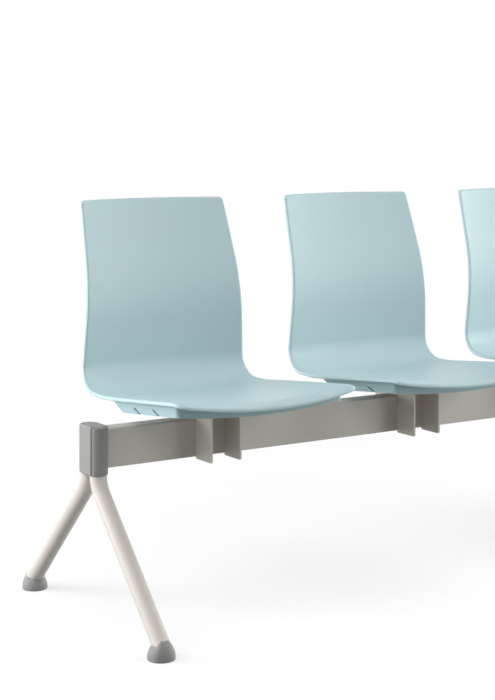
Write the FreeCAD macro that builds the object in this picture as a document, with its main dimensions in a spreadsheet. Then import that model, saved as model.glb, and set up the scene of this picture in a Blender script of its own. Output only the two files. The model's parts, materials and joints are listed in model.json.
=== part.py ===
import FreeCAD, Part
import math
import os

import Sketcher

# Three-seat beam bench
# Origin on the floor under the middle of the beam, +Z up, the beam along X, sitters face -Y.
# Every length is in millimetres and every angle in degrees.

os.makedirs("parts", exist_ok=True)
doc = FreeCAD.newDocument("beam_bench")
V = FreeCAD.Vector
X_AXIS = V(1, 0, 0)
Z_AXIS = V(0, 0, 1)

# Driving dimensions

DIMENSIONS = {
    "seat_pitch": 530,
    "beam_high": 80,
    "beam_deep": 40,
    "beam_wall": 2.5,
    "beam_round": 4,
    "beam_top": 389,
    "beam_end": 19,
    "tube_round": 35,
    "tube_wall": 2,
    "tube_gap": 1,
    "tube_top": 391,
    "bend_radius": 75,
    "leg_splay": 45.6,
    "knee_height": 278,
    "tube_foot_height": 18,
    "spigot_long": 75,
    "spigot_weld": 5.5,
    "spigot_wall": 4,
    "spigot_fit": 0.2,
    "lock_first": 36,
    "lock_step": 26,
    "lock_round": 6.6,
    "lock_long": 12,
    "lock_hole": 8.2,
    "lock_sunk": 0.4,
    "lock_socket": 3,
    "cover_radius": 20.5,
    "cover_wall": 2.6,
    "cover_bottom": 297,
    "cover_top": 396,
    "cover_round": 4,
    "cover_fit": 0.2,
    "tube_fit": 0.15,
    "cap_half": 24.2,
    "cap_gap": 2.6,
    "cap_deep": 12.5,
    "foot_out": 275,
    "foot_round": 54,
    "foot_edge": 1.5,
    "foot_skirt": 8,
    "foot_high": 43,
    "foot_crown": 24,
    "foot_lean": 12.4,
    "fork_thick": 4,
    "fork_spread": 70,
    "fork_front": 81,
    "fork_rear": 61,
    "fork_bottom": 305.3,
    "fork_slack": 0.2,
    "fork_round": 4,
    "plate_thick": 4,
    "plate_wide": 170,
    "plate_front": 130,
    "plate_rear": 32,
    "plate_corner": 12,
    "access_hole": 18,
    "saddle_deep": 34,
    "bolt_half": 18,
    "bolt_back": 7,
    "bolt_round": 8,
    "bolt_long": 18,
    "bolt_head": 14,
    "bolt_head_high": 4,
    "bolt_socket": 5,
    "bolt_hole": 8.4,
    "sleeve_round": 11,
    "sleeve_long": 15,
    "seat_tilt": 5.6,
    "tray_rear": 4,
    "tray_height": 413,
    "tray_sag": 12,
    "tray_half": 197,
    "tray_front": 225,
    "tray_corner": 12,
    "tray_turn_up": 29.7,
    "tray_turn_radius": 40,
    "tray_wall": 3,
    "slit_wide": 3,
    "slit_long": 28,
    "slit_angle": 25,
    "slit_first": 76,
    "slit_step": 77,
    "screw_half": 55,
    "screw_front": 95,
    "screw_rear": 26,
    "screw_round": 5,
    "screw_long": 18,
    "screw_head": 10,
    "screw_head_high": 3.2,
    "screw_socket": 2.6,
    "screw_hole": 5.5,
    "pad_round": 26,
    "pad_high": 1.5,
    "boss_round": 18,
    "boss_bore_deep": 13,
    "shell_thick": 8,
    "seat_dish": 16,
    "back_dish": 20,
    "seat_wide": 424,
    "waist_start": 10,
    "waist_run": 100,
    "waist_wide": 407,
    "waist_height": 438,
    "hip_height": 478,
    "hip_wide": 404,
    "top_wide": 361,
    "top_ease": 0.16,
    "seat_edge_front": 215,
    "seat_edge_height": 466.7,
    "lip_radius": 150,
    "lip_roll": 58,
    "lip_front": 264,
    "lip_side": 251,
    "lip_corner": 17,
    "seat_run": 275,
    "heel_radius": 370,
    "heel_turn": 10,
    "nook_radius": 49,
    "lower_back_run": 78,
    "lower_back_lean": 3.7,
    "lumbar_radius": 386,
    "recline": 17.5,
    "back_top": 838,
    "back_crown": 1.5,
    "back_corner": 10,
}

sheet = doc.addObject("Spreadsheet::Sheet", "Dims")
for row, (alias, value) in enumerate(DIMENSIONS.items(), start=1):
    sheet.set("A%d" % row, alias)
    sheet.set("B%d" % row, str(value))
    sheet.setAlias("B%d" % row, alias)
doc.recompute()


def dim(alias):
    """The value of one driving dimension, read back from the sheet."""
    return float(sheet.get(alias))


SEATS = (1, 2, 3)
ENDS = (("front", -1), ("rear", 1))
LEG_X = "1.5 * Dims.seat_pitch"
# How far a cutting tool, or a blank that is trimmed later, runs past the surface that it meets.
PAST = 20.0
nodes = {}


def keep(node, thing):
    """Registers a finished sub-part under the name that its file gets."""
    thing.Label = node
    nodes[node] = thing
    return thing


def bind(thing, paths, texts):
    """Ties properties of a document object to expressions on the sheet."""
    for path, text in zip(paths, texts):
        thing.setExpression(path, text)
    return thing


PLACE = ("Placement.Base.x", "Placement.Base.y", "Placement.Base.z")


def block(name, low, size):
    """A box from its low corner and its size."""
    made = doc.addObject("Part::Box", name)
    return bind(made, PLACE + ("Length", "Width", "Height"), low + size)


def rod(name, foot, radius, long):
    """A cylinder from the middle of its lower end."""
    made = doc.addObject("Part::Cylinder", name)
    return bind(made, PLACE + ("Radius", "Height"), foot + (radius, long))


def cone(name, foot, low_radius, high_radius, high):
    made = doc.addObject("Part::Cone", name)
    return bind(made, PLACE + ("Radius1", "Radius2", "Height"), foot + (low_radius, high_radius, high))


def solid_feature(name, shape):
    made = doc.addObject("Part::Feature", name)
    made.Shape = shape
    return made


def cut(name, base, tool):
    made = doc.addObject("Part::Cut", name)
    made.Base = base
    made.Tool = tool
    return made


def fuse(name, things):
    made = doc.addObject("Part::MultiFuse", name)
    made.Shapes = things
    return made


def group(name, things):
    """Separate solids of identical fasteners, kept together as one sub-part."""
    made = doc.addObject("Part::Compound", name)
    made.Links = things
    return made


def mirrored(name, source):
    """The same sub-part at the bench's other end."""
    made = doc.addObject("Part::Mirroring", name)
    made.Source = source
    made.Normal = X_AXIS
    return made


def seat_shift(number):
    """How far along the beam one seat stands from the middle one."""
    return "(%d - 2) * Dims.seat_pitch" % number


def at_seat(node, source, number):
    """The same sub-part again, at one of the three seats."""
    made = solid_feature("Seated_" + node, source.Shape.copy())
    return keep(node, bind(made, PLACE[:1], (seat_shift(number),)))


def origin_plane(body, role):
    return next(item for item in body.Origin.OriginFeatures if item.Role == role)


def value_of(expression):
    """The number that an expression on the sheet gives."""
    found = sheet.evalExpression(expression)
    return float(getattr(found, "Value", found))


def outline_sketch(body, name, corners):
    """A closed polygon across the bench whose corner coordinates are expressions on the sheet."""
    sketch = body.newObject("Sketcher::SketchObject", name)
    sketch.AttachmentSupport = (origin_plane(body, "YZ_Plane"), [""])
    sketch.MapMode = "FlatFace"
    places = [(value_of(across), value_of(up)) for across, up in corners]
    count = len(places)
    for index, (across, up) in enumerate(places):
        following = places[(index + 1) % count]
        line = Part.LineSegment(V(across, up, 0), V(following[0], following[1], 0))
        sketch.addGeometry(line, False)
    for index in range(count):
        joined = Sketcher.Constraint("Coincident", index, 2, (index + 1) % count, 1)
        sketch.addConstraint(joined)
    for index, texts in enumerate(corners):
        for kind, text, value in zip(("DistanceX", "DistanceY"), texts, places[index]):
            number = sketch.addConstraint(Sketcher.Constraint(kind, -1, 1, index, 1, value))
            label = "%s_%d" % (kind, index)
            sketch.renameConstraint(number, label)
            sketch.setExpression("Constraints." + label, text)
    return sketch


def padded_body(name, corners, length):
    """An outline padded evenly to both sides, into a plate or a bar."""
    body = doc.addObject("PartDesign::Body", name)
    pad = body.newObject("PartDesign::Pad", name + "_pad")
    pad.Profile = outline_sketch(body, name + "_outline", corners)
    pad.Midplane = True
    pad.setExpression("Length", length)
    doc.recompute()
    return body


def rounded(body, radius, test):
    """A fillet on the edges that a test on their box and middle picks."""
    picked = []
    for number, edge in enumerate(body.Shape.Edges, start=1):
        middle = edge.valueAt((edge.FirstParameter + edge.LastParameter) / 2)
        if test(edge.BoundBox, middle):
            picked.append("Edge%d" % number)
    finished = body.Tip
    fillet = body.newObject("PartDesign::Fillet", body.Name + "_rounding")
    fillet.Base = (finished, picked)
    fillet.setExpression("Radius", radius)
    body.Tip = fillet
    doc.recompute()
    return fillet


# Seat shell
# One moulding: seat and back in one sweep, dished across by nearly the same sag all along,
# with a rolled front lip, a tight nook, a forward lumbar and a reclined top.

def shell_path():
    """Stations along the side edge, each a place and a heading.

    The edge runs back from the lip as straights joined by tangent arcs.
    """
    tilt = math.radians(dim("seat_tilt"))
    heading = -tilt
    place = V(0, -dim("seat_edge_front"), dim("seat_edge_height"))
    centre = place - V(0, math.sin(tilt), math.cos(tilt)) * dim("lip_radius")
    roll = dim("lip_roll") / dim("lip_radius")
    stations = []
    for share in (1, 2 / 3, 1 / 3, 0):
        turned = heading + roll * share
        up = V(0, -math.sin(turned), math.cos(turned))
        stations.append((centre + up * dim("lip_radius"), turned))

    def straight(length, steps):
        nonlocal place
        for _ in range(steps):
            place = place + V(0, math.cos(heading), math.sin(heading)) * (length / steps)
            stations.append((place, heading))

    def arc(radius, turn, steps):
        nonlocal place, heading
        part = turn / steps
        chord = 2 * radius * math.sin(abs(part) / 2)
        for _ in range(steps):
            middle = heading + part / 2
            place = place + V(0, math.cos(middle), math.sin(middle)) * chord
            heading += part
            stations.append((place, heading))

    heel = math.radians(dim("heel_turn"))
    upright = math.radians(90 + dim("lower_back_lean"))
    reclined = math.radians(90 - dim("recline"))
    straight(dim("seat_run"), 4)
    arc(dim("heel_radius"), heel, 1)
    arc(dim("nook_radius"), upright + tilt - heel, 5)
    straight(dim("lower_back_run"), 1)
    arc(dim("lumbar_radius"), reclined - upright, 3)
    straight((dim("back_top") + PAST - place.z) / math.sin(heading), 4)
    return stations


def shell_width(place, heading):
    """The shell narrows at the waist and again, more gently, up the back."""
    if heading < math.radians(45):
        share = min(max((place.y - dim("waist_start")) / dim("waist_run"), 0), 1)
        eased = share * share * (3 - 2 * share)
        return dim("seat_wide") + (dim("waist_wide") - dim("seat_wide")) * eased
    hip, ease = dim("hip_height"), dim("top_ease")
    if place.z < hip:
        share = max((place.z - dim("waist_height")) / (hip - dim("waist_height")), 0)
        return dim("waist_wide") + (dim("hip_wide") - dim("waist_wide")) * share
    share = (place.z - hip) / (dim("back_top") - hip)
    eased = share * (1 - ease) + share * share * ease
    return dim("hip_wide") + (dim("top_wide") - dim("hip_wide")) * eased


def shell_section(place, heading, upper, lower):
    """A closed strip across the shell between two depths below the sitting face."""
    out = V(0, math.sin(heading), -math.cos(heading))
    across = V(shell_width(place, heading) / 2, 0, 0)
    upright = min(max(math.sin(heading), 0), 1)
    sag = out * (dim("seat_dish") + (dim("back_dish") - dim("seat_dish")) * upright)
    top, bottom = place + out * upper, place + out * lower
    return Part.Wire([
        Part.Arc(top - across, top + sag, top + across).toShape(),
        Part.makeLine(top + across, bottom + across),
        Part.Arc(bottom + across, bottom + sag, bottom - across).toShape(),
        Part.makeLine(bottom - across, top - across),
    ])


def shell_loft(name, upper, lower, stations):
    sections = []
    for number, (place, heading) in enumerate(stations, start=1):
        section = shell_section(place, heading, upper, lower)
        sections.append(solid_feature("%s_section_%d" % (name, number), section))
    loft = doc.addObject("Part::Loft", name)
    loft.Sections = sections
    loft.Solid = True
    return loft


def trimming(half, end, rise, corner, sides_lean):
    """The outline beyond a bowed edge with two rounded corners, drawn flat.

    The edge lies at the distance end, bows out by rise in its middle, and its sides
    widen by sides_lean for each millimetre back from it.
    """
    slope = 2 * rise / half
    back = V(sides_lean, -1, 0).normalize()
    inward = V(-1, slope, 0).normalize()
    bisector = (back + inward).normalize()
    half_angle = back.getAngle(inward) / 2
    tip = V(half, end, 0)
    reach = corner / math.tan(half_angle)
    centre = tip + bisector * (corner / math.sin(half_angle))
    right = [tip + back * reach, centre - bisector * corner, tip + inward * reach]
    left = [V(-point.x, point.y, 0) for point in reversed(right)]
    outside = half + PAST
    ahead = end + rise + 3 * PAST
    return Part.Wire([
        Part.Arc(*right).toShape(),
        Part.Arc(right[2], V(0, end + rise, 0), left[0]).toShape(),
        Part.Arc(*left).toShape(),
        Part.makePolygon([left[2], V(-outside, left[2].y, 0), V(-outside, ahead, 0),
                          V(outside, ahead, 0), V(outside, right[0].y, 0), right[0]]),
    ])


def beyond_lip():
    """What the bowed front edge and its rounded corners leave out, seen from above."""
    bow = dim("lip_front") - dim("lip_side")
    outline = trimming(dim("seat_wide") / 2, dim("lip_side"), bow, dim("lip_corner"), 0)
    outline.rotate(V(0, 0, 0), X_AXIS, 180)
    return Part.Face(outline).extrude(Z_AXIS * dim("back_top"))


def beyond_top():
    """What the slightly crowned top and its rounded corners leave out, seen from the front."""
    high = dim("back_top")
    rise = high - dim("hip_height")
    lean = (dim("hip_wide") - dim("top_wide")) / 2 * (1 + dim("top_ease")) / rise
    # The rounding starts just outside the edge, so that it leaves no step on it.
    half = dim("top_wide") / 2 + 0.3
    outline = trimming(half, high, dim("back_crown"), dim("back_corner"), lean)
    outline.rotate(V(0, 0, 0), X_AXIS, 90)
    return Part.Face(outline).extrude(V(0, dim("back_top"), 0))


stations = shell_path()
shell_blank = shell_loft("shell_blank", 0, dim("shell_thick"), stations)
trimmings = fuse("shell_trimmings", [
    solid_feature("beyond_lip", beyond_lip()),
    solid_feature("beyond_top", beyond_top()),
])
shell_plain = cut("shell_plain", shell_blank, trimmings)
doc.recompute()


# Tray under the seat
# A shallow moulded tub below the shell, drawn in a frame that leans back with the seat.
# The frame's zero is on the underside, on the middle line, above the beam.

def seat_frame(across=0.0, back=0.0, up=0.0):
    """A placement in the leaning frame of the middle seat."""
    lean = FreeCAD.Rotation(X_AXIS, -dim("seat_tilt"))
    start = V(0, dim("tray_rear"), dim("tray_height") - dim("tray_sag"))
    return FreeCAD.Placement(start + lean.multVec(V(across, back, up)), lean)


def tub(inset):
    """A block with a sagging underside that turns up at the rear, its front corners rounded.

    One section across the tray is drawn out to the front, swung up through the turn
    and drawn out again along the slant.
    """
    half, sag = dim("tray_half"), dim("tray_sag")
    turn, radius = dim("tray_turn_up"), dim("tray_turn_radius")
    slant = math.radians(turn)
    start = -radius * math.tan(slant / 2)
    wide = half + PAST
    sag_radius = (half * half + sag * sag) / (2 * sag)
    edge = inset + sag_radius - math.sqrt(sag_radius * sag_radius - wide * wide)
    left, right = V(-wide, start, edge), V(wide, start, edge)
    section = Part.Face(Part.Wire([
        Part.Arc(left, V(0, start, inset), right).toShape(),
        Part.makePolygon([right, V(wide, start, radius), V(-wide, start, radius), left]),
    ]))
    axis = V(0, start, radius)
    level = section.extrude(V(0, -dim("tray_front") - PAST, 0))
    bend = section.revolve(axis, X_AXIS, turn)
    section.rotate(axis, X_AXIS, turn)
    rear = section.extrude(V(0, math.cos(slant), math.sin(slant)) * 3 * PAST)
    block = level.fuse([bend, rear])
    half -= inset
    front = dim("tray_front") - inset
    plan = Part.makeBox(2 * half, front + 3 * PAST, 4 * PAST, V(-half, -front, 0))
    corners = [edge for edge in plan.Edges if edge.BoundBox.YMax < 1 - front and edge.BoundBox.ZLength > 1]
    return block.common(plan.makeFillet(dim("tray_corner") - inset, corners))


def seat_hole_places():
    return [(side * dim("screw_half"), -back)
            for side in (-1, 1) for back in (dim("screw_front"), dim("screw_rear"))]


def tray_shape():
    wall, half = dim("tray_wall"), dim("tray_half")
    shape = tub(0).cut(tub(wall))
    for across, back in seat_hole_places():
        shape = shape.fuse(Part.makeCylinder(dim("pad_round") / 2, wall + dim("pad_high"), V(across, back, 0)))
        shape = shape.cut(Part.makeCylinder(dim("screw_hole") / 2, wall + PAST, V(across, back, -1)))
    core = Part.makeBox(2 * (half - 2 * wall), 4 * half, 2 * half, V(2 * wall - half, -2 * half, -half))
    for number in (0, 1):
        slit = Part.makeBox(4 * half, dim("slit_long"), dim("slit_wide"), V(-2 * half, 0, -dim("slit_wide") / 2))
        slit.rotate(V(0, 0, 0), X_AXIS, dim("slit_angle"))
        slit.translate(V(0, -dim("slit_first") - number * dim("slit_step"), dim("tray_sag")))
        shape = shape.cut(slit.cut(core))
    shape.Placement = seat_frame()
    return shape


over_tray = [station for station in stations if station[1] < math.radians(dim("seat_tilt"))]
seat_space = shell_loft("seat_space", dim("shell_thick") - 2 * PAST, dim("shell_thick"), over_tray)
tray_plain = cut("tray_plain", solid_feature("tray_blank", tray_shape()), seat_space)
doc.recompute()


# Screw bosses under the shell
# Four short posts reach down from the shell to the tray's floor and take the seat screws.

def boss_shape():
    posts = []
    wall = dim("tray_wall") + dim("pad_high")
    for across, back in seat_hole_places():
        post = Part.makeCylinder(dim("boss_round") / 2, PAST, V(across, back, wall))
        bore = Part.makeCylinder(dim("screw_round") / 2, dim("boss_bore_deep"), V(across, back, wall))
        posts.append(post.cut(bore))
    shape = Part.makeCompound(posts)
    shape.Placement = seat_frame()
    return shape


half_way_in = dim("shell_thick") / 2
boss_space = shell_loft("boss_space", half_way_in - 2 * PAST, half_way_in, over_tray)
bosses = cut("bosses", solid_feature("boss_blank", boss_shape()), boss_space)
doc.recompute()
shell_whole = solid_feature("shell_whole", shell_plain.Shape.fuse(bosses.Shape))
for number in SEATS:
    at_seat("seat_shell_%d" % number, shell_whole, number)
    at_seat("seat_tray_%d" % number, tray_plain, number)


# Seat brackets
# Two upright fork plates straddle the beam, carry the leaning seat plate and are
# tied by a flat saddle that lies on the beam's top face.

def under_plate(back):
    """Height of the seat plate's underside at a distance behind the beam's middle."""
    lean = "tan(Dims.seat_tilt * 1 deg)"
    drop = "Dims.plate_thick / cos(Dims.seat_tilt * 1 deg)"
    return "Dims.tray_height - Dims.tray_sag - %s - (%s - Dims.tray_rear) * %s" % (drop, back, lean)


def fork_plate(name, side):
    slot = "Dims.beam_deep / 2 + Dims.fork_slack"
    body = padded_body(name, [
        ("-Dims.fork_front", "Dims.fork_bottom"),
        ("-(%s)" % slot, "Dims.fork_bottom"),
        ("-(%s)" % slot, "Dims.beam_top"),
        (slot, "Dims.beam_top"),
        (slot, "Dims.fork_bottom"),
        ("Dims.fork_rear", "Dims.fork_bottom"),
        ("Dims.fork_rear", under_plate("Dims.fork_rear")),
        ("-Dims.fork_front", under_plate("-Dims.fork_front")),
    ], "Dims.fork_thick")
    outer = dim("beam_deep")
    bottom = dim("fork_bottom")
    rounded(body, "Dims.fork_round", lambda box, middle:
            box.XLength > 1 and abs(middle.z - bottom) < 0.1 and abs(middle.y) > outer)
    return bind(body, PLACE[:1], ("%d * Dims.fork_spread / 2" % side,))


def beam_bolt_places():
    return [(side * dim("bolt_half"), -dim("bolt_back")) for side in (-1, 1)]


def seat_plate_shape():
    half, front, rear, thick = dim("plate_wide") / 2, dim("plate_front"), dim("plate_rear"), dim("plate_thick")
    plate = Part.makeBox(2 * half, front + rear, thick, V(-half, -front, -thick))
    upright = [edge for edge in plate.Edges if edge.BoundBox.ZLength > 1]
    plate = plate.makeFillet(dim("plate_corner"), upright)
    for across, back in seat_hole_places():
        plate = plate.cut(Part.makeCylinder(dim("screw_hole") / 2, 2 * PAST, V(across, back, -PAST)))
    for across, back in beam_bolt_places():
        place = V(across, back - dim("tray_rear"), -PAST)
        plate = plate.cut(Part.makeCylinder(dim("access_hole") / 2, 2 * PAST, place))
    plate.Placement = seat_frame()
    return plate


def saddle_shape():
    wide, deep = dim("fork_spread") - dim("fork_thick"), dim("saddle_deep")
    saddle = Part.makeBox(wide, deep, dim("plate_thick"), V(-wide / 2, -deep / 2, dim("beam_top")))
    for across, back in beam_bolt_places():
        hole = Part.makeCylinder(dim("bolt_hole") / 2, 2 * PAST, V(across, back, dim("beam_top") - PAST))
        saddle = saddle.cut(hole)
    return saddle


bracket_whole = fuse("bracket_whole", [
    fork_plate("fork_left", -1),
    fork_plate("fork_right", 1),
    solid_feature("seat_plate", seat_plate_shape()),
    solid_feature("saddle", saddle_shape()),
])
doc.recompute()
for number in SEATS:
    at_seat("seat_bracket_%d" % number, bracket_whole, number)


# Seat screws and beam bolts
# Pan-head screws come up through plate and tray into the shell's bosses. Button-head bolts
# hold the saddle down in threaded sleeves set into the beam's top wall.

def screw_shape(kind):
    """A fastener with its head's bearing face at zero and the shank pointing down."""
    radius, high = dim(kind + "_head") / 2, dim(kind + "_head_high")
    socket, long = dim(kind + "_socket"), dim(kind + "_long")
    head = Part.makeCylinder(radius, high)
    rim = [edge for edge in head.Edges if edge.BoundBox.ZMin > high / 2]
    head = head.makeChamfer(high / 3, rim)
    recess = Part.makeBox(socket, socket, high, V(-socket / 2, -socket / 2, high / 2))
    shank = Part.makeCylinder(dim(kind + "_round") / 2, long, V(0, 0, -long))
    return head.fuse(shank).cut(recess)


def seat_screw_set():
    turned = FreeCAD.Placement(V(0, 0, 0), FreeCAD.Rotation(X_AXIS, 180))
    screws = []
    for across, back in seat_hole_places():
        screw = screw_shape("screw")
        screw.Placement = seat_frame(across, back, -dim("plate_thick")).multiply(turned)
        screws.append(screw)
    return screws


def beam_bolt_set():
    bolts = []
    for across, back in beam_bolt_places():
        bolt = screw_shape("bolt")
        bolt.Placement.Base = V(across, back, dim("beam_top") + dim("plate_thick"))
        bolts.append(bolt)
    return bolts


def beam_sleeve_set():
    sleeves = []
    long = dim("sleeve_long")
    for across, back in beam_bolt_places():
        foot = V(across, back, dim("beam_top") - long)
        bore = Part.makeCylinder(dim("bolt_round") / 2, long, foot)
        sleeves.append(Part.makeCylinder(dim("sleeve_round") / 2, long, foot).cut(bore))
    return sleeves


for kind, shapes in (
    ("seat_screws", seat_screw_set()),
    ("beam_bolts", beam_bolt_set()),
    ("beam_sleeves", beam_sleeve_set()),
):
    pieces = [solid_feature("%s_piece_%d" % (kind, index), shape) for index, shape in enumerate(shapes, start=1)]
    kit = group(kind + "_kit", pieces)
    doc.recompute()
    for number in SEATS:
        at_seat("%s_%d" % (kind, number), kit, number)


# Beam
# One rectangular steel tube. Its top wall is drilled for the threaded sleeves, its bottom
# wall near each end for the screws that lock it to the legs.

def beam_body():
    half = "Dims.beam_deep / 2"
    low = "Dims.beam_top - Dims.beam_high"
    high = "Dims.beam_top"
    wall = " - Dims.beam_wall"
    outline = [("-" + half, low), (half, low), (half, high), ("-" + half, high)]
    body = padded_body("Beam", outline, "2 * (%s - Dims.beam_end)" % LEG_X)
    rounded(body, "Dims.beam_round", lambda box, middle: box.XLength > 1)
    inner_half, inner_low, inner_high = half + wall, low + " + Dims.beam_wall", high + wall
    bore = body.newObject("PartDesign::Pocket", "beam_bore")
    bore.Profile = outline_sketch(body, "beam_hollow", [
        ("-(%s)" % inner_half, inner_low), (inner_half, inner_low),
        (inner_half, inner_high), ("-(%s)" % inner_half, inner_high),
    ])
    bore.Midplane = True
    bore.Type = "ThroughAll"
    doc.recompute()
    return body


LOCK_INWARD = ("Dims.lock_first", "Dims.lock_first + Dims.lock_step")
wall_height = "2 * Dims.beam_wall"
holes = []
for number in SEATS:
    for index, side in enumerate((-1, 1)):
        foot = ("%d * Dims.bolt_half + %s" % (side, seat_shift(number)), "-Dims.bolt_back",
                "Dims.beam_top - " + wall_height)
        name = "sleeve_hole_%d_%d" % (number, index)
        holes.append(rod(name, foot, "Dims.sleeve_round / 2", "2 * " + wall_height))
for side in (-1, 1):
    for index, inward in enumerate(LOCK_INWARD):
        foot = ("%d * (%s - (%s))" % (side, LEG_X, inward), "0",
                "Dims.beam_top - Dims.beam_high - " + wall_height)
        name = "lock_hole_%d_%d" % (side + 1, index)
        holes.append(rod(name, foot, "Dims.lock_hole / 2", "2 * " + wall_height))
keep("beam", cut("Beam_drilled", beam_body(), fuse("beam_holes", holes)))


# Legs
# Two bent steel tubes at each end of the beam, side by side under the cover and splayed to
# the front and the rear. A spigot bar is welded to them and the beam slides over it.
# The left leg is drawn, the right one mirrors it.

def tube_middle(end):
    """How far one upright tube's middle line stands from the beam's."""
    return end * (dim("tube_round") + dim("tube_gap")) / 2


def leg_path(end):
    """The middle line of one tube: down, round the bend, then straight to the foot."""
    x, y = -1.5 * dim("seat_pitch"), tube_middle(end)
    splay, radius = math.radians(dim("leg_splay")), dim("bend_radius")
    knee, low = dim("knee_height"), dim("tube_foot_height")
    reach = radius * math.tan(splay / 2)
    outward = end * math.sin(splay)
    bend_start = V(x, y, knee + reach)
    centre = bend_start + V(0, end * radius, 0)
    half_way = centre - V(0, end * math.cos(splay / 2), math.sin(splay / 2)) * radius
    bend_end = V(x, y + reach * outward, knee - reach * math.cos(splay))
    foot = V(x, y + end * (knee - low) * math.tan(splay), low)
    return V(x, y, dim("tube_top")), bend_start, half_way, bend_end, foot


def tube_solid(end, radius, overrun=0.0):
    top, bend_start, half_way, bend_end, foot = leg_path(end)
    top = top + Z_AXIS * overrun
    foot = foot + (foot - bend_end).normalize() * overrun
    path = Part.Wire([
        Part.makeLine(top, bend_start),
        Part.Arc(bend_start, half_way, bend_end).toShape(),
        Part.makeLine(bend_end, foot),
    ])
    ring = Part.Wire([Part.makeCircle(radius, top, -Z_AXIS)])
    return path.makePipeShell([ring], True, False)


def leg_tube(end):
    radius = dim("tube_round") / 2
    return tube_solid(end, radius).cut(tube_solid(end, radius - dim("tube_wall"), 1.0))


def spigot_shape():
    """A rectangular tube that fits the beam, its outer end shaped to the two leg tubes."""
    slack, wall = dim("beam_wall") + dim("spigot_fit"), dim("spigot_wall")
    deep, high = dim("beam_deep") - 2 * slack, dim("beam_high") - 2 * slack
    bottom = dim("beam_top") - dim("beam_high") + slack
    middle = -1.5 * dim("seat_pitch")
    start = middle + dim("spigot_weld")
    long = dim("spigot_long") + dim("spigot_weld")
    bar = Part.makeBox(long, deep, high, V(start, -deep / 2, bottom))
    bore = Part.makeBox(long, deep - 2 * wall, high - 2 * wall, V(start + PAST, wall - deep / 2, bottom + wall))
    bar = bar.cut(bore)
    for inward in LOCK_INWARD:
        place = V(middle + value_of(inward), 0, bottom - 1)
        bar = bar.cut(Part.makeCylinder(dim("lock_round") / 2, PAST, place))
    for _, end in ENDS:
        bar = bar.cut(tube_solid(end, dim("tube_round") / 2))
    return bar


def lock_screw(index, inward):
    """A socket set screw, driven from below, that pins the beam to the spigot."""
    x, low = "%s - %s" % (inward, LEG_X), "Dims.beam_top - Dims.beam_high"
    socket = "Dims.lock_socket"
    body = rod("lock_body_%d" % index, (x, "0", low + " + Dims.lock_sunk"), "Dims.lock_round / 2", "Dims.lock_long")
    recess = block("lock_recess_%d" % index, (x + " - Dims.lock_socket / 2", "-Dims.lock_socket / 2", low),
                   (socket, socket, socket))
    return cut("lock_screw_%d" % index, body, recess)


# Leg covers
# A stadium-shaped moulding closes over the tube tops and the beam end. A flat cap with a
# shadow gap down each side closes its outer face.

def stadium(radius, low, high):
    axis = tube_middle(1)
    block = Part.makeBox(2 * radius, 2 * axis, high - low, V(-radius, -axis, low))
    for _, end in ENDS:
        block = block.fuse(Part.makeCylinder(radius, high - low, V(0, end * axis, low)))
    return block.removeSplitter()


def cover_and_cap():
    low, high = dim("cover_bottom"), dim("cover_top")
    radius, wall = dim("cover_radius"), dim("cover_wall")
    block = stadium(radius, low, high)
    rims = [edge for edge in block.Edges if edge.BoundBox.ZLength < 0.01]
    shell = block.makeFillet(dim("cover_round"), rims).cut(stadium(radius - wall, low - PAST, high - wall))

    def outer_slice(half):
        """The room of the cap, cap_deep thick from the outer face."""
        place = V(dim("cap_deep") - 2 * radius, -half, low - PAST)
        return Part.makeBox(radius, 2 * half, high - low + 2 * PAST, place)

    cap = shell.common(outer_slice(dim("cap_half")))
    cover = shell.cut(outer_slice(dim("cap_half") + dim("cap_gap")))
    fit = dim("cover_fit")
    deep, tall = dim("beam_deep") + 2 * fit, dim("beam_high") + 2 * fit
    place = V(radius - 3 * wall, -deep / 2, dim("beam_top") - dim("beam_high") - fit)
    cover = cover.cut(Part.makeBox(radius, deep, tall, place))
    for shape in (cover, cap):
        shape.translate(V(-1.5 * dim("seat_pitch"), 0, 0))
    for _, end in ENDS:
        room = tube_solid(end, dim("tube_round") / 2 + dim("tube_fit"))
        cover, cap = cover.cut(room), cap.cut(room)
    return cover, cap


# Feet
# A plastic glide with a flat base: a short skirt, a tapering side and a round crown.
# The tube runs into a slanting blind hole in it.

def foot(name, end):
    x, y = "-" + LEG_X, "%d * Dims.foot_out" % end
    radius = "Dims.foot_round / 2"
    middle = "Dims.foot_high - Dims.foot_crown"
    shoulder = middle + " + Dims.foot_crown * sin(Dims.foot_lean * 1 deg)"
    neck = "Dims.foot_crown * cos(Dims.foot_lean * 1 deg)"
    crown = doc.addObject("Part::Sphere", name + "_crown")
    bind(crown, PLACE + ("Radius", "Angle1"), (x, y, middle, "Dims.foot_crown", "Dims.foot_lean"))
    body = fuse(name + "_body", [
        cone(name + "_edge", (x, y, "0"), radius + " - Dims.foot_edge", radius, "Dims.foot_edge"),
        rod(name + "_skirt", (x, y, "Dims.foot_edge"), radius, "Dims.foot_skirt - Dims.foot_edge"),
        cone(name + "_side", (x, y, "Dims.foot_skirt"), radius, neck, shoulder + " - Dims.foot_skirt"),
        crown,
    ])
    reach = "(Dims.knee_height - Dims.tube_foot_height) * tan(Dims.leg_splay * 1 deg)"
    hole_y = "%d * ((Dims.tube_round + Dims.tube_gap) / 2 + %s)" % (end, reach)
    hole = rod(name + "_hole", (x, hole_y, "Dims.tube_foot_height"), "Dims.tube_round / 2", "2 * Dims.foot_round")
    # The hole leans in towards the knee, so its axis of turn is reversed for the front foot.
    hole.Placement.Rotation = FreeCAD.Rotation(X_AXIS * end, 1)
    hole.setExpression("Placement.Rotation.Angle", "Dims.leg_splay")
    return cut(name, body, hole)


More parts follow.
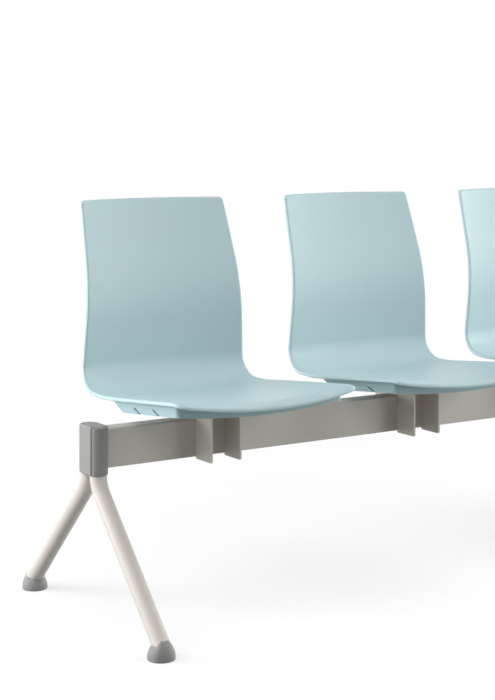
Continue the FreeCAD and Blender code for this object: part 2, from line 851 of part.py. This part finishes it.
left_pieces = {}
for end_name, end in ENDS:
    left_pieces["leg_tube_%s_" + end_name] = solid_feature("Tube_" + end_name, leg_tube(end))
    left_pieces["foot_%s_" + end_name] = foot("Foot_" + end_name, end)
left_pieces["beam_spigot_%s"] = solid_feature("Spigot", spigot_shape())
locks = [lock_screw(index, inward) for index, inward in enumerate(LOCK_INWARD)]
left_pieces["lock_screws_%s"] = group("Locks", locks)
cover, cap = cover_and_cap()
left_pieces["leg_cover_%s"] = solid_feature("Cover", cover)
left_pieces["leg_cap_%s"] = solid_feature("Cap", cap)
for node, thing in left_pieces.items():
    keep(node % "left", thing)
    keep(node % "right", mirrored(thing.Name + "_mirrored", thing))
doc.recompute()


# Everything is checked before any file is written

for thing in doc.Objects:
    if "Invalid" in thing.State or "Error" in thing.State:
        raise RuntimeError("failed feature: %s" % thing.Name)
for node, thing in nodes.items():
    shape = thing.Shape
    if shape.isNull() or not shape.isValid() or not shape.Solids:
        raise RuntimeError("bad shape: %s" % node)
for node, thing in sorted(nodes.items()):
    thing.Shape.exportStep("parts/%s.step" % node)
print("%d sub-parts written" % len(nodes))
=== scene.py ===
import json
import math

import bpy
import numpy as np
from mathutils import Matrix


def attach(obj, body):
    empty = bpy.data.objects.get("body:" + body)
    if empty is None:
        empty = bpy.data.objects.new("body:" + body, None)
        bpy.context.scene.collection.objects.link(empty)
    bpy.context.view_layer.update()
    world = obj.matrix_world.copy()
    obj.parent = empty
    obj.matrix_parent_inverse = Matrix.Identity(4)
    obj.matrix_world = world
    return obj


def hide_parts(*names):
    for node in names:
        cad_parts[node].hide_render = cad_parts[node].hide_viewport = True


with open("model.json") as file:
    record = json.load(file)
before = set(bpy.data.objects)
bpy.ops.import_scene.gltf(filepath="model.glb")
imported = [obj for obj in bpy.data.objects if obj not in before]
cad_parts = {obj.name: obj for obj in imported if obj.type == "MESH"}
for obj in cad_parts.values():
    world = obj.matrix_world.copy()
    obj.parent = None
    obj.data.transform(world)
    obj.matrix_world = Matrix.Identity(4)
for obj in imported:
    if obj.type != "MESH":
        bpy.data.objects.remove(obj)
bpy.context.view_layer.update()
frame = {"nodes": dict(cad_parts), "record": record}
nodes = frame["nodes"]


# Beam, legs and brackets
# The beam is a rectangular steel tube. A spigot, welded between two bent round tubes, slides into
# each end of it. Fork plates under the seats straddle it. All are powder-coated warm light grey.

class Value:
    """A number that varies over a surface. Sums, differences and products add their nodes."""

    def __init__(self, finish, socket):
        self.finish = finish
        self.socket = socket

    def maths(self, operation, first, second):
        return self.finish.node("ShaderNodeMath", {"operation": operation}, {0: first, 1: second})

    def __add__(self, other):
        return self.maths("ADD", self, other)

    def __mul__(self, other):
        return self.maths("MULTIPLY", self, other)

    def __sub__(self, other):
        return self.maths("SUBTRACT", self, other)

    def __rsub__(self, other):
        return self.maths("SUBTRACT", other, self)

    __radd__ = __add__
    __rmul__ = __mul__


class Finish:
    """The shader of a material or of the room.

    Constants sit on its own sockets, and only what varies over the surface is linked to it.
    """

    COLOUR_A, COLOUR_B, COLOUR_RESULT = 6, 7, 2  # a Mix node's sockets in its colour form

    def __init__(self, owner, shader="Principled BSDF", **constants):
        owner.use_nodes = True
        self.owner = owner
        self.tree = owner.node_tree
        self.shader = self.tree.nodes[shader]
        for socket, value in constants.items():
            self.shader.inputs[socket.replace("_", " ")].default_value = value

    def node(self, kind, settings, inputs, output=0):
        """Adds a node, sets its settings, then fills its sockets with values or links."""
        made = self.tree.nodes.new(kind)
        for setting, value in settings.items():
            setattr(made, setting, value)
        for socket, value in inputs.items():
            if isinstance(value, Value):
                self.tree.links.new(value.socket, made.inputs[socket])
            else:
                made.inputs[socket].default_value = value
        return Value(self, made.outputs[output])

    def feed(self, socket, value):
        self.tree.links.new(value.socket, self.shader.inputs[socket])

    def noise(self, scale, detail=2.0):
        """Noise from 0 to 1 with features about 1 / scale metres across."""
        place = self.node("ShaderNodeTexCoord", {}, {}, "Object")
        inputs = {"Vector": place, "Scale": scale, "Detail": detail}
        return self.node("ShaderNodeTexNoise", {}, inputs, "Fac")

    def tinted(self, low, high, factor):
        """Base colour that drifts between two close tones."""
        inputs = {"Factor": factor, self.COLOUR_A: low, self.COLOUR_B: high}
        mixed = self.node("ShaderNodeMix", {"data_type": "RGBA"}, inputs, self.COLOUR_RESULT)
        self.feed("Base Color", mixed)

    def sheen(self, roughness, *spans):
        """Roughness about a middle value: each noise adds its span's width, less half of it."""
        value = roughness - sum(width for noise, width in spans) / 2
        for noise, width in spans:
            value = noise * width + value
        self.feed("Roughness", value)

    def grained(self, height, depth):
        """Surface relief of a given depth in metres."""
        inputs = {"Strength": 1.0, "Distance": depth, "Height": height}
        self.feed("Normal", self.node("ShaderNodeBump", {}, inputs))


def shades(tone, drift):
    """Two shades of a tone, darker and lighter than it by a share."""
    return [tuple(part * share for part in tone) + (1.0,) for share in (1 - drift, 1 + drift)]


SOFT_GLOSS = {"IOR": 1.5, "Specular_IOR_Level": 0.25}
PAINT_TONE, PAINT_ROUGHNESS = (0.59, 0.56, 0.508), 0.38
PAINT_DRIFT, PAINT_PATCHES = 0.02, 3.0
PEEL_DIMPLES, PAINT_SPECKS = 420.0, 1900.0
PEEL_SHARE, PEEL_DEPTH = 0.8, 0.00006
PAINT_SPECK_SHEEN, PAINT_PATCH_SHEEN = 0.06, 0.05


def powder_coat(name):
    """Stoved powder paint: orange peel a few millimetres across over a barely varying tone."""
    finish = Finish(bpy.data.materials.new(name), **SOFT_GLOSS)
    patches = finish.noise(PAINT_PATCHES)
    peel = finish.noise(PEEL_DIMPLES, 1.0)
    specks = finish.noise(PAINT_SPECKS, 1.0)
    finish.tinted(*shades(PAINT_TONE, PAINT_DRIFT), patches)
    finish.sheen(PAINT_ROUGHNESS, (specks, PAINT_SPECK_SHEEN), (patches, PAINT_PATCH_SHEEN))
    finish.grained(peel * PEEL_SHARE + specks * (1 - PEEL_SHARE), PEEL_DEPTH)
    return finish.owner


def dress(slot, material):
    """Gives the CAD nodes of one of the record's material slots their finish."""
    for entry in frame["record"]["subparts"]:
        if entry["material_slot"] == slot:
            for material_slot in nodes[entry["node"]].material_slots:
                material_slot.material = material


dress("painted_steel", powder_coat("warm_grey_paint"))


# Bolts, sleeves and screws
# Zinc-plated fasteners: button-head bolts through the brackets, pan-head screws up into the
# shells, and set screws from below where the beam is locked to its spigots.

ZINC_DARK, ZINC_LIGHT = (0.52, 0.53, 0.54, 1.0), (0.66, 0.66, 0.65, 1.0)
ZINC_ROUGHNESS, ZINC_SHEEN, ZINC_SPANGLES = 0.32, 0.16, 260.0


def zinc_plate(name):
    """Bright zinc plate with a slight mottle of tone and sheen."""
    finish = Finish(bpy.data.materials.new(name), Metallic=1.0)
    mottle = finish.noise(ZINC_SPANGLES)
    finish.tinted(ZINC_DARK, ZINC_LIGHT, mottle)
    finish.sheen(ZINC_ROUGHNESS, (mottle, ZINC_SHEEN))
    return finish.owner


dress("plated_steel", zinc_plate("zinc_plate"))


# Leg covers and caps
# Two grey mouldings at each end hide the tube tops and the beam's end. A shadow gap runs down
# each side of the flat cap.

GREY_TONE, GREY_ROUGHNESS = (0.257, 0.254, 0.248), 0.5
PLASTIC_DRIFT, PLASTIC_PATCHES = 0.03, 2.2
SPARK_PITS, SPARK_DEPTH = 1400.0, 0.00004
SPARK_SHEEN, PLASTIC_PATCH_SHEEN = 0.05, 0.06


def moulded_plastic(name, tone, roughness):
    """Matte injection-moulded plastic: a fine spark texture and a faint drift of tone and sheen."""
    finish = Finish(bpy.data.materials.new(name), **SOFT_GLOSS)
    patches = finish.noise(PLASTIC_PATCHES)
    spark = finish.noise(SPARK_PITS, 1.0)
    finish.tinted(*shades(tone, PLASTIC_DRIFT), patches)
    finish.sheen(roughness, (spark, SPARK_SHEEN), (patches, PLASTIC_PATCH_SHEEN))
    finish.grained(spark, SPARK_DEPTH)
    return finish.owner


grey_plastic = moulded_plastic("grey_plastic", GREY_TONE, GREY_ROUGHNESS)
dress("grey_plastic", grey_plastic)


# Feet
# A grey moulded glide under each tube: a low dome on a flat base, raised on its outer side
# where it wraps the end of the slanting tube.

LEG_OUT, FOOT_OUT = 0.795, 0.275
FOOT_RADIUS, FOOT_EDGE = 0.027, 0.0015
SHOULDER_SKIRT, SHOULDER_DOME = 0.003, 0.0325
SOCKET_SKIRT, SOCKET_DOME = 0.008, 0.035
SOCKET_FROM, SOCKET_SPAN = 0.35, 0.55
CROWN_POWER = 10
FOOT_ROWS, FOOT_COLUMNS, BEVEL_ROWS = 20, 64, 4


def eased(share):
    """Smooth step from 0 to 1: three times the square less twice the cube of a clipped share."""
    share = np.clip(share, 0, 1)
    return share * share * (3 - 2 * share)


def grid_faces(rows, columns, start=0, closed=False):
    """Quads of a grid of points; a closed grid joins its last column to its first."""
    wide = columns if closed else columns - 1
    row, column = np.meshgrid(np.arange(rows - 1), np.arange(wide), indexing="ij")
    following = (column + 1) % columns
    quads = [row * columns + column, row * columns + following,
             (row + 1) * columns + following, (row + 1) * columns + column]
    return start + np.stack(quads, -1).reshape(-1, 4)


def mesh_piece(name, points, face_groups, material):
    """A shown piece from an array of points and some arrays of faces, with smooth shading."""
    mesh = bpy.data.meshes.new(name)
    faces = [face for group in face_groups for face in group.tolist()]
    mesh.from_pydata(points.tolist(), [], faces)
    mesh.materials.append(material)
    mesh.shade_smooth()
    piece = bpy.data.objects.new(name, mesh)
    bpy.context.scene.collection.objects.link(piece)
    return piece


def foot_surface(end, rows, columns):
    """Rings round an upright axis, as distance out and height, between a pole below and one above.

    The dome is a quarter ellipse, out by the cosine and up by the sine of the climb. Its skirt and
    height go over from the low shoulder's to the socket's as the ring turns to the outer side, and
    both come to their mean at the crown, so that the rings close there.
    """
    turn = np.linspace(0, 2 * math.pi, columns, endpoint=False)
    climb = np.linspace(0, math.pi / 2, rows)[:-1, None]
    outer_side = eased((np.sin(turn) * end - SOCKET_FROM) / SOCKET_SPAN)
    wrap = 0.5 + (outer_side - 0.5) * (1 - np.sin(climb) ** CROWN_POWER)
    skirt = SHOULDER_SKIRT + (SOCKET_SKIRT - SHOULDER_SKIRT) * wrap
    dome = SHOULDER_DOME + (SOCKET_DOME - SHOULDER_DOME) * wrap
    bevel = np.linspace(0, math.pi / 2, BEVEL_ROWS)[:, None]
    edge_out = FOOT_RADIUS - FOOT_EDGE * (1 - np.sin(bevel))
    edge_up = FOOT_EDGE * (1 - np.cos(bevel))
    level = np.ones(columns)
    out = np.concatenate([edge_out * level, FOOT_RADIUS * np.cos(climb) * level])
    up = np.concatenate([edge_up * level, skirt + dome * np.sin(climb)])
    rings = np.stack([out * np.cos(turn), out * np.sin(turn), up], -1).reshape(-1, 3)
    top = (SHOULDER_SKIRT + SHOULDER_DOME + SOCKET_SKIRT + SOCKET_DOME) / 2
    points = np.concatenate([rings, [[0, 0, 0], [0, 0, top]]])
    around = np.arange(columns)
    following = (around + 1) % columns
    last = len(rings) - columns
    below = np.stack([following, around, np.full(columns, len(rings))], -1)
    above = np.stack([last + around, last + following, np.full(columns, len(rings) + 1)], -1)
    return points, [grid_faces(len(out), columns, closed=True), below, above]


for side_name, side in (("left", -1), ("right", 1)):
    for end_name, end in (("front", -1), ("rear", 1)):
        points, faces = foot_surface(end, FOOT_ROWS, FOOT_COLUMNS)
        place = np.array([side * LEG_OUT, end * FOOT_OUT, 0])
        foot = mesh_piece("glide_%s_%s" % (side_name, end_name), points + place, faces,
                          grey_plastic)
        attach(foot, "root")
        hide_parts("foot_%s_%s" % (side_name, end_name))


# Trays
# A shallow moulded tub under each shell, with two slanting slits in each side. It is screwed up to
# the shell together with the bracket's plate. Its tone is a slightly deeper aqua than the shell's:
# partly its own colour, partly painted shade for the shadow that the shell's front lip casts on it.

# The tray's deeper, more saturated tone is partly painted shade, standing in for the lip's shadow.
TRAY_TONE_AND_SHADE, SEAT_ROUGHNESS = (0.335, 0.475, 0.50), 0.42
dress("tray_plastic", moulded_plastic("deep_aqua_painted_shade_plastic", TRAY_TONE_AND_SHADE, SEAT_ROUGHNESS))


# Seat shells
# One moulding a seat: seat, tight nook, forward lumbar and reclined back in one sweep. It is
# dished across all the way, 8 mm thick, and its rim is softly rounded all round.

SHELL_TONE = (0.435, 0.575, 0.606)
SEAT_PITCH = 0.530
SHELL_THICK = 0.008
RIM_ROUND, RIM_UNDER_ROUND = 0.0055, 0.0015
SEAT_TILT = math.radians(5.6)
LIP_RADIUS, LIP_RUN = 0.150, 0.058
SEAT_EDGE = (-0.215, 0.4667)
SEAT_RUN = 0.275
HEEL_RADIUS, HEEL_TURN = 0.370, math.radians(10)
NOOK_RADIUS = 0.049
LOWER_BACK_RUN, LOWER_BACK_LEAN = 0.078, math.radians(3.7)
LUMBAR_RADIUS, RECLINE = 0.386, math.radians(17.5)
BACK_TOP = 0.838
SEAT_DISH, BACK_DISH = 0.016, 0.020
SEAT_HALF, WAIST_HALF, HIP_HALF, TOP_HALF = 0.212, 0.2035, 0.202, 0.1805
WAIST_HEIGHT, HIP_HEIGHT = 0.438, 0.478
LIP_MIDDLE, LIP_SIDE, LIP_CORNER = 0.0536, 0.0361, 0.017
BACK_CORNER, CROWN_RISE = 0.010, 0.0079
WAIST_FROM, WAIST_SPAN = 0.010, 0.100
BACK_BOW, BACK_SPARE = 0.16, 0.1
UPRIGHT_FROM = math.radians(45)
EDGE_STEPS, EDGE_SPARE = 6000, 0.4
SHELL_ROWS, SHELL_COLUMNS, RIM_STEPS = 241, 97, 6
COLUMN_CROWDING = 0.94
END_POWER = 3


def shell_edge(run):
    """Side edge of the shell at a run along it, zero where the flat seat meets the rolled lip.

    Straights and arcs follow each other without a kink, so the heading is a piecewise linear
    function of the run, and the place is the integral of the heading's cosine and sine.
    """
    upright = math.pi / 2 + LOWER_BACK_LEAN
    reclined = math.pi / 2 - RECLINE
    flat_end = SEAT_RUN
    heel_end = flat_end + HEEL_RADIUS * HEEL_TURN
    nook_end = heel_end + NOOK_RADIUS * (upright + SEAT_TILT - HEEL_TURN)
    lower_end = nook_end + LOWER_BACK_RUN
    lumbar_end = lower_end + LUMBAR_RADIUS * (upright - reclined)
    runs = [-LIP_RUN, 0.0, flat_end, heel_end, nook_end, lower_end, lumbar_end,
            lumbar_end + EDGE_SPARE]
    headings = [LIP_RUN / LIP_RADIUS - SEAT_TILT, -SEAT_TILT, -SEAT_TILT, HEEL_TURN - SEAT_TILT,
                upright, upright, reclined, reclined]
    fine = np.linspace(runs[0], runs[-1], EDGE_STEPS + 1)
    turn = np.interp(fine, runs, headings)
    step = fine[1] - fine[0]
    middle = (turn[1:] + turn[:-1]) / 2
    along = np.concatenate([[0.0], np.cumsum(np.cos(middle) * step)])
    up = np.concatenate([[0.0], np.cumsum(np.sin(middle) * step)])
    along += SEAT_EDGE[0] - np.interp(0.0, fine, along)
    up += SEAT_EDGE[1] - np.interp(0.0, fine, up)
    return np.interp(run, fine, along), np.interp(run, fine, up), np.interp(run, fine, turn)


def shell_half(run):
    """Half width: full at the seat, eased in to the waist, then slowly narrower up the back."""
    along, up, heading = shell_edge(run)
    seat = SEAT_HALF + (WAIST_HALF - SEAT_HALF) * eased((along - WAIST_FROM) / WAIST_SPAN)
    climbed = np.clip((up - WAIST_HEIGHT) / (HIP_HEIGHT - WAIST_HEIGHT), 0, 1)
    hip = WAIST_HALF + (HIP_HALF - WAIST_HALF) * climbed
    rise = np.clip((up - HIP_HEIGHT) / (BACK_TOP - HIP_HEIGHT), 0, 1 + BACK_SPARE)
    back = HIP_HALF + (TOP_HALF - HIP_HALF) * ((1 - BACK_BOW) * rise + BACK_BOW * rise * rise)
    return np.where(heading > UPRIGHT_FROM, np.where(up < HIP_HEIGHT, hip, back), seat)


def shell_point(across, run, depth):
    """A point of the shell: the edge's place, sunk at right angles to it.

    It sinks by a circular dish, which is nothing at the edges, and by a depth below the face.
    """
    along, up, heading = shell_edge(run)
    half = shell_half(run)
    dish = SEAT_DISH + (BACK_DISH - SEAT_DISH) * np.clip(np.sin(heading), 0, 1)
    radius = (half * half + dish * dish) / (2 * dish)
    sunk = np.sqrt(radius * radius - across * across) - (radius - dish) + depth
    return np.stack([across, along + np.sin(heading) * sunk, up - np.cos(heading) * sunk], -1)


def corner_draw(beyond, radius):
    """How far a round corner draws an edge back, at a distance into the corner.

    The radius less the square root of its square less the distance's square.
    """
    inside = np.clip(beyond, 0, radius)
    return radius - np.sqrt(radius * radius - inside * inside)


back_runs = np.linspace(0.6, 1.0, 2001)
TOP_RUN = float(np.interp(BACK_TOP, shell_edge(back_runs)[1], back_runs))


def shell_outline(share_across, share_along, inset):
    """Maps a square onto the shell's flat outline, drawn in by an inset.

    Across is a times the half width and along is b between lip and top. Each side of the square
    bends round both of its corners as far as their diagonals, so that the grid has no pole and
    its rim is the true outline.
    """
    a, b = share_across, share_along
    diagonal = 1 - 1 / math.sqrt(2)
    lip_round, top_round = LIP_CORNER - inset, BACK_CORNER - inset
    low_side = -LIP_SIDE + inset
    high_side = TOP_RUN - inset
    low_end = low_side + lip_round * diagonal
    high_end = high_side - top_round * diagonal
    run = low_end + (high_end - low_end) * (b + 1) / 2
    half = shell_half(run) - inset
    half = half - corner_draw(low_side + lip_round - run, lip_round)
    half = half - corner_draw(run - high_side + top_round, top_round)
    across = a * half
    low_half = shell_half(np.full_like(run, low_end)) - inset
    high_half = shell_half(np.full_like(run, high_end)) - inset
    lip_across = np.abs(a) * (low_half - lip_round * diagonal)
    top_across = np.abs(a) * (high_half - top_round * diagonal)
    low = low_side + corner_draw(lip_across - low_half + lip_round, lip_round)
    low = low - (LIP_MIDDLE - LIP_SIDE) * (1 - np.clip(lip_across / low_half, 0, 1) ** 2)
    high = high_side - corner_draw(top_across - high_half + top_round, top_round)
    high = high + CROWN_RISE * (1 - np.clip(top_across / high_half, 0, 1) ** 2)
    blend = (b + 1) / 2
    run = run + (low - low_end) * (1 - blend) ** END_POWER + (high - high_end) * blend ** END_POWER
    return across, run


def rim_loop(rows, columns):
    """Grid numbers along the four sides of the square, once round."""
    numbers = np.arange(rows * columns).reshape(rows, columns)
    sides = numbers[0, :-1], numbers[:-1, -1], numbers[-1, :0:-1], numbers[:0:-1, 0]
    return np.concatenate(sides)


def shell_surface(rows, columns):
    """Closed shell: a sitting face, a hidden face and a rim between them.

    The rim turns down from the face in a wide quarter round and in to the hidden face in a
    narrow one: out by the sine of the turn and down by one less its cosine, times the radius.
    """
    crowded = math.pi / 2 * COLUMN_CROWDING
    spread = np.sin(np.linspace(-crowded, crowded, columns)) / math.sin(crowded)
    b, a = np.meshgrid(np.linspace(-1, 1, rows), spread, indexing="ij")
    outlines = [np.stack(shell_outline(a, b, inset), -1).reshape(-1, 2)
                for inset in (RIM_ROUND, 0.0, RIM_UNDER_ROUND)]
    loop = rim_loop(rows, columns)
    upper, outer, under = (outline[loop] for outline in outlines)
    quarter = np.linspace(0, math.pi / 2, RIM_STEPS + 1)[1:]
    rings = [(upper + (outer - upper) * math.sin(turn), RIM_ROUND * (1 - math.cos(turn)))
             for turn in quarter]
    rings += [(under + (outer - under) * math.sin(turn),
               SHELL_THICK - RIM_UNDER_ROUND * (1 - math.cos(turn)))
              for turn in quarter[::-1]]
    count = rows * columns
    faces = [grid_faces(rows, columns), grid_faces(rows, columns, count)[:, ::-1]]
    starts = 2 * count + len(loop) * np.arange(len(rings))
    levels = [loop] + [start + np.arange(len(loop)) for start in starts] + [count + loop]
    for above, below in zip(levels, levels[1:]):
        faces.append(np.stack([np.roll(above, -1), above, below, np.roll(below, -1)], -1))
    sheets = [(outlines[0], 0.0), (outlines[2], SHELL_THICK)] + rings
    points = [shell_point(place[:, 0], place[:, 1], depth) for place, depth in sheets]
    return np.concatenate(points), faces


shell_plastic = moulded_plastic("aqua_plastic", SHELL_TONE, SEAT_ROUGHNESS)
shell_points, shell_faces = shell_surface(SHELL_ROWS, SHELL_COLUMNS)
for number in (1, 2, 3):
    shift = np.array([(number - 2) * SEAT_PITCH, 0, 0])
    shell = mesh_piece("shell_%d" % number, shell_points + shift, shell_faces, shell_plastic)
    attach(shell, "root")
    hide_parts("seat_shell_%d" % number)


# Floor and background
# A plain pale floor, a hair below the feet, that keeps the bench's shadow, and a white room.
# Some two metres out the floor turns as white as the room, so that its edge doesn't show.

FLOOR_REACH, FLOOR_GAP, FLOOR_POINTS = 8.0, 0.0003, 96
SHADOW_NEAR, SHADOW_FAR = 1.1, 2.3
FLOOR_TONE = 0.36
FLOOR_GLOW = 0.635
ROOM_LIGHT = 0.02


def seen_rays(finish):
    """1 for rays from the camera, from gloss and through glass, 0 for soft bounced light.

    One less the product of one less each of the three.
    """
    camera_ray, glossy_ray, glass_ray = (
        finish.node("ShaderNodeLightPath", {}, {}, name)
        for name in ("Is Camera Ray", "Is Glossy Ray", "Is Transmission Ray"))
    return 1 - (1 - camera_ray) * (1 - glossy_ray) * (1 - glass_ray)


def show(finish, output, shader):
    """Puts a mix of shaders on the output, in place of the plain one."""
    finish.tree.links.new(shader.socket, finish.tree.nodes[output].inputs["Surface"])


floor_finish = Finish(bpy.data.materials.new("pale_floor"), Roughness=0.9, Specular_IOR_Level=0.0,
                      Base_Color=(FLOOR_TONE, FLOOR_TONE, FLOOR_TONE, 1))
plain = Value(floor_finish, floor_finish.shader.outputs[0])
glow = floor_finish.node("ShaderNodeEmission", {}, {"Strength": FLOOR_GLOW})
lit = floor_finish.node("ShaderNodeAddShader", {}, {0: plain, 1: glow})
white = floor_finish.node("ShaderNodeEmission", {}, {"Strength": 1.0})
place = floor_finish.node("ShaderNodeTexCoord", {}, {}, "Object")
away = floor_finish.node("ShaderNodeVectorMath", {"operation": "LENGTH"}, {0: place}, "Value")
span = {"Value": away, "From Min": SHADOW_NEAR, "From Max": SHADOW_FAR}
far = floor_finish.node("ShaderNodeMapRange", {"interpolation_type": "SMOOTHSTEP"}, span)
shown = floor_finish.node("ShaderNodeMixShader", {}, {0: far, 1: lit, 2: white})
choice = {0: seen_rays(floor_finish), 1: plain, 2: shown}
show(floor_finish, "Material Output", floor_finish.node("ShaderNodeMixShader", {}, choice))

turn = np.linspace(0, 2 * math.pi, FLOOR_POINTS, endpoint=False)
level = np.full(FLOOR_POINTS, -FLOOR_GAP)
rim = np.stack([FLOOR_REACH * np.cos(turn), FLOOR_REACH * np.sin(turn), level], -1)
floor = mesh_piece("floor", rim, [np.arange(FLOOR_POINTS)[None]], floor_finish.owner)

world = bpy.data.worlds.new("white_room")
bpy.context.scene.world = world
room = Finish(world, "Background", Color=(1, 1, 1, 1), Strength=ROOM_LIGHT)
dim = Value(room, room.shader.outputs[0])
bright = room.node("ShaderNodeBackground", {}, {"Color": (1, 1, 1, 1), "Strength": 1.0})
walls = room.node("ShaderNodeMixShader", {}, {0: seen_rays(room), 1: dim, 2: bright})
show(room, "World Output", walls)


# Lamps
# Square soft boxes stand round the bench, each at an azimuth from the front towards +X, an
# elevation and a distance from a point above the beam, with a size and a power in watts.

LAMP_AIM = (0.0, 0.0, 0.5)
LAMPS = {
    "right_box": (90, 10, 5.4, 3.0, 254),
    "left_rear_box": (241, 6, 4.2, 1.6, 112),
    "left_box": (272, 12, 4.2, 2.2, 40),
    "left_high_box": (268, 42, 4.2, 2.2, 56),
    "front_right_box": (45, 12, 4.2, 3.2, 118),
    "front_right_high_box": (48, 46, 4.0, 2.2, 20),
    "front_left_high_box": (315, 42, 4.2, 2.2, 24),
    "top_box": (60, 75, 3.4, 2.2, 22),
    "rear_box": (200, 20, 4.2, 2.2, 36),
}
for name, (azimuth, elevation, distance, size, power) in LAMPS.items():
    lamp = bpy.data.lights.new(name, "AREA")
    lamp.shape = "SQUARE"
    lamp.size = size
    lamp.energy = power
    turn, lift = math.radians(azimuth), math.radians(elevation)
    lamp_object = bpy.data.objects.new(name, lamp)
    lamp_object.location = (
        LAMP_AIM[0] + distance * math.sin(turn) * math.cos(lift),
        LAMP_AIM[1] - distance * math.cos(turn) * math.cos(lift),
        LAMP_AIM[2] + distance * math.sin(lift),
    )
    lamp_object.rotation_euler = (math.pi / 2 - lift, 0, turn)
    bpy.context.scene.collection.objects.link(lamp_object)


# Camera
# It stands to the front left, a little above the seat backs, and looks level, as the upright
# edges in the photograph show. Only the frame is shifted down.

IMAGE_HIGH = 700
FOCAL_PIXELS = 1611
HORIZON_ROW = 125
CAMERA_PLACE = (-2.292, -2.899, 1.0)
CAMERA_AHEAD = (0.5412, 0.8409)
camera = bpy.data.cameras.new("camera")
camera.sensor_width = 36.0
camera.lens = camera.sensor_width * FOCAL_PIXELS / IMAGE_HIGH
camera.shift_y = (HORIZON_ROW - IMAGE_HIGH / 2) / IMAGE_HIGH
camera_object = bpy.data.objects.new("camera", camera)
camera_object.location = CAMERA_PLACE
camera_object.rotation_euler = (math.pi / 2, 0, -math.atan2(*CAMERA_AHEAD))
bpy.context.scene.collection.objects.link(camera_object)
bpy.context.scene.camera = camera_object
bpy.context.scene.view_settings.view_transform = "Standard"
